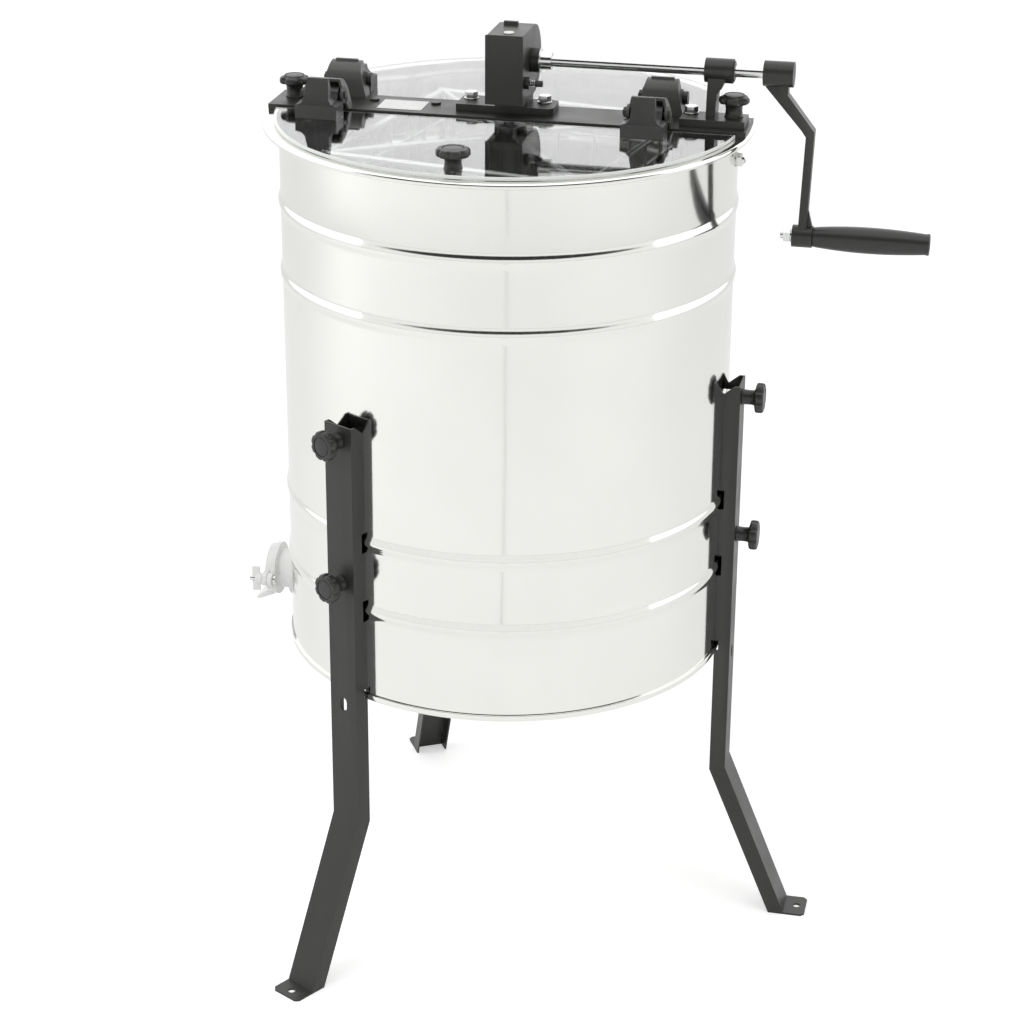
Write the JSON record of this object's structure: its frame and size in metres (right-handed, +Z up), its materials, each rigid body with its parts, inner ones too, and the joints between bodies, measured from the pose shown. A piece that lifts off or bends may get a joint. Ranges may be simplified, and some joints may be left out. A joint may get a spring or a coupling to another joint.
{
  "type": "hand-cranked honey extractor",
  "caption": "Hand-cranked honey extractor: polished drum on three channel legs, crossbar with bevel gearbox and crank, clear hinged lid halves, and a honey gate.",
  "frame": {"origin": "centre of the floor circle of the three foot holes, on the floor below the drum's axis", "axes": "+Z up along the drum's axis, +X along the crossbar towards the crank, +Y to the rear"},
  "size_m": [0.7645, 0.656, 1.0526],
  "materials": {
    "polished_steel": "mirror-polished stainless steel",
    "bright_steel": "bright stainless steel",
    "gear_steel": "machined steel",
    "black_paint": "satin black powder coat",
    "black_plastic": "satin black moulded plastic",
    "clear_plastic": "clear acrylic sheet",
    "white_plastic": "white moulded plastic",
    "bearing_plastic": "black bearing plastic",
    "seal_rubber": "soft pale rubber"
  },
  "bodies": {
    "root": {"bar_brackets": "bright_steel", "bar_plugs": "black_plastic", "brake_bush": "black_plastic", "brake_spring": "bright_steel", "crossbar": "black_paint", "drum_floor": "polished_steel", "drum_wall": "polished_steel", "gate_body": "white_plastic", "gate_gasket": "seal_rubber", "gate_nut": "white_plastic", "gate_screws": "bright_steel", "gearbox_base": "black_paint", "gearbox_frame": "black_paint", "gearbox_front_cover": "black_paint", "gearbox_housing": "black_paint", "hinge_hoods": "black_plastic", "hinge_pins": "black_plastic", "label_plate": "white_plastic", "leg_1": "black_paint", "leg_2": "black_paint", "leg_3": "black_paint", "leg_studs": "bright_steel", "lower_bearing": "bearing_plastic", "mount_bolts": "bright_steel", "rim_bolts": "bright_steel", "shaft_bushes": "black_plastic", "shaft_stand": "black_paint", "stand_bush": "black_plastic", "top_plug": "white_plastic", "upper_bearing": "bearing_plastic"},
    "crank": {"crank_shaft": "bright_steel", "shaft_collar": "bright_steel", "crank_arm": "black_paint", "grip_bolt": "bright_steel", "crank_gear": "gear_steel"},
    "grip": {"crank_grip": "black_plastic"},
    "basket": {"basket_shaft": "bright_steel", "basket_pinion": "gear_steel", "basket_frame_low": "bright_steel", "basket_frame_high": "bright_steel", "basket_screens": "bright_steel", "basket_posts": "bright_steel"},
    "front_lid": {"lid_front": "clear_plastic", "lid_brackets_front": "black_plastic", "lid_clamps_front": "bright_steel", "lid_knob": "black_plastic"},
    "rear_lid": {"lid_rear": "clear_plastic", "lid_brackets_rear": "black_plastic", "lid_clamps_rear": "bright_steel"},
    "flap": {"gate_flap": "white_plastic"},
    "wing_nut": {"gate_wing_nut": "white_plastic"},
    "brake": {"brake_plunger": "black_plastic"},
    "left_bar_knob": {"bar_knob_left": "black_plastic"},
    "right_bar_knob": {"bar_knob_right": "black_plastic"},
    "leg_knob_1_low": {"leg_knob_1_low": "black_plastic"},
    "leg_knob_1_high": {"leg_knob_1_high": "black_plastic"},
    "leg_knob_2_low": {"leg_knob_2_low": "black_plastic"},
    "leg_knob_2_high": {"leg_knob_2_high": "black_plastic"},
    "leg_knob_3_low": {"leg_knob_3_low": "black_plastic"},
    "leg_knob_3_high": {"leg_knob_3_high": "black_plastic"}
  },
  "joints": [
    {"name": "basket_spin", "type": "hinge", "parent": "root", "child": "basket", "pos_m": [0, 0, 0.6], "axis": [0, 0, 1], "continuous": true},
    {"name": "crank_turn", "type": "hinge", "parent": "root", "child": "crank", "pos_m": [0, 0, 1.013], "axis": [1, 0, 0], "continuous": true},
    {"name": "grip_spin", "type": "hinge", "parent": "crank", "child": "grip", "pos_m": [0.4, 0, 0.837], "axis": [1, 0, 0], "continuous": true},
    {"name": "front_lid_hinge", "type": "hinge", "parent": "root", "child": "front_lid", "pos_m": [0, -0.038, 0.972], "axis": [-1, 0, 0], "range_deg": [0, 90]},
    {"name": "rear_lid_hinge", "type": "hinge", "parent": "root", "child": "rear_lid", "pos_m": [0, 0.038, 0.972], "axis": [1, 0, 0], "range_deg": [0, 90]},
    {"name": "flap_swing", "type": "hinge", "parent": "root", "child": "flap", "pos_m": [-0.2834, 0.036, 0.383], "axis": [-1, 0, 0], "range_deg": [0, 110]},
    {"name": "wing_nut_turn", "type": "hinge", "parent": "root", "child": "wing_nut", "pos_m": [-0.29, -0.036, 0.383], "axis": [1, 0, 0], "continuous": true},
    {"name": "brake_push", "type": "slide", "parent": "root", "child": "brake", "axis": [-1, 0, 0], "range_m": [0, 0.003], "stiffness_N_per_m": 400, "springref_m": -0.001, "deforming": ["brake_spring"]},
    {"name": "left_bar_knob_turn", "type": "hinge", "parent": "root", "child": "left_bar_knob", "pos_m": [-0.244, 0.007, 0.96], "axis": [0, 0, 1], "continuous": true},
    {"name": "right_bar_knob_turn", "type": "hinge", "parent": "root", "child": "right_bar_knob", "pos_m": [0.2455, 0, 0.97], "axis": [0, 0, 1], "continuous": true},
    {"name": "leg_knob_1_low_turn", "type": "hinge", "parent": "root", "child": "leg_knob_1_low", "pos_m": [0.28, 0, 0.481], "axis": [1, 0, 0], "continuous": true},
    {"name": "leg_knob_1_high_turn", "type": "hinge", "parent": "root", "child": "leg_knob_1_high", "pos_m": [0.28, 0, 0.647], "axis": [1, 0, 0], "continuous": true},
    {"name": "leg_knob_2_low_turn", "type": "hinge", "parent": "root", "child": "leg_knob_2_low", "pos_m": [-0.14, 0.24249, 0.481], "axis": [-0.5, 0.866, 0], "continuous": true},
    {"name": "leg_knob_2_high_turn", "type": "hinge", "parent": "root", "child": "leg_knob_2_high", "pos_m": [-0.14, 0.24249, 0.647], "axis": [-0.5, 0.866, 0], "continuous": true},
    {"name": "leg_knob_3_low_turn", "type": "hinge", "parent": "root", "child": "leg_knob_3_low", "pos_m": [-0.14, -0.24249, 0.481], "axis": [-0.5, -0.866, 0], "continuous": true},
    {"name": "leg_knob_3_high_turn", "type": "hinge", "parent": "root", "child": "leg_knob_3_high", "pos_m": [-0.14, -0.24249, 0.647], "axis": [-0.5, -0.866, 0], "continuous": true}
  ],
  "couplings": [
    {"joint": "crank_turn", "follows": "basket_spin", "ratio": 0.33333}
  ]
}
